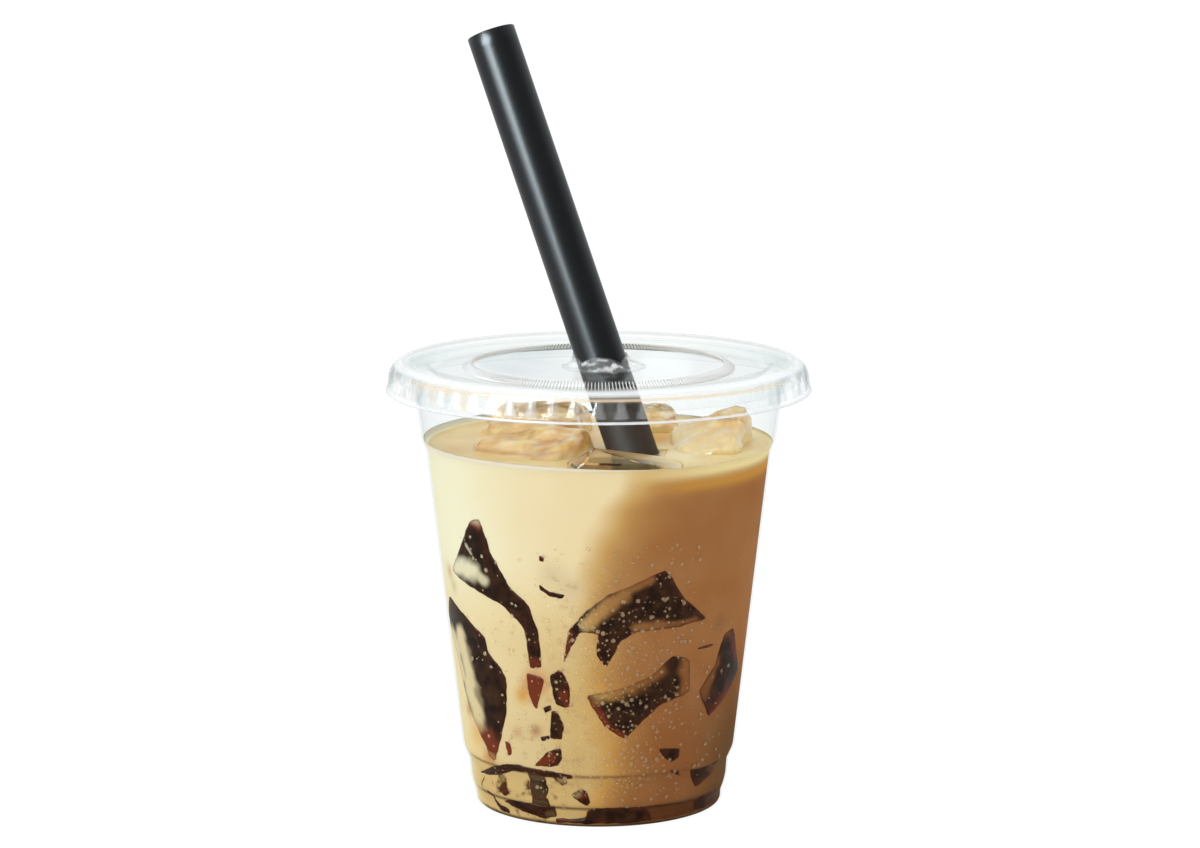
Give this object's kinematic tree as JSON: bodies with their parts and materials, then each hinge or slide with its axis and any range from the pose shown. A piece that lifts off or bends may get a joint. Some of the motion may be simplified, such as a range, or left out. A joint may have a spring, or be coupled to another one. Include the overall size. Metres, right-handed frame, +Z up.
{
  "type": "hojicha latte",
  "caption": "Iced hojicha latte with dark jelly and ice in a clear takeaway cup, with a clear flat lid and a wide dark straw leaning out of it.",
  "frame": {"origin": "centre of the cup's foot, on the plane it stands on", "axes": "+Z up through the cup, -Y towards the front, where the jelly shows best, +X to the right of it; the straw leans towards -X and +Y"},
  "size_m": [0.0968, 0.0968, 0.1782],
  "materials": {
    "clear_plastic": "thin clear plastic, glossy",
    "straw_plastic": "dark semi-gloss plastic",
    "milky_tea": "smooth milky liquid, wet",
    "wet_ice": "wet ice under a film of milk tea",
    "clear_ice": "clear ice, wet",
    "dark_jelly": "dark brown jelly, glossy"
  },
  "bodies": {
    "root": {"cup": "clear_plastic", "lid": "clear_plastic", "straw": "straw_plastic", "drink": "milky_tea", "ice_front_clear": "clear_ice", "ice_left": "wet_ice", "ice_back_left": "wet_ice", "ice_back": "wet_ice", "ice_right": "wet_ice", "jelly_left_upper": "dark_jelly", "jelly_left_lower": "dark_jelly", "jelly_left_chip": "dark_jelly", "jelly_centre_upper": "dark_jelly", "jelly_centre_lower": "dark_jelly", "jelly_right": "dark_jelly", "jelly_small_upper": "dark_jelly", "jelly_small_lower": "dark_jelly", "jelly_chip_right": "dark_jelly", "jelly_band": "dark_jelly", "jelly_foot_left": "dark_jelly", "jelly_foot_slip": "dark_jelly", "jelly_foot_right": "dark_jelly", "jelly_foot_edge": "dark_jelly", "jelly_bottom": "dark_jelly"}
  },
  "joints": []
}
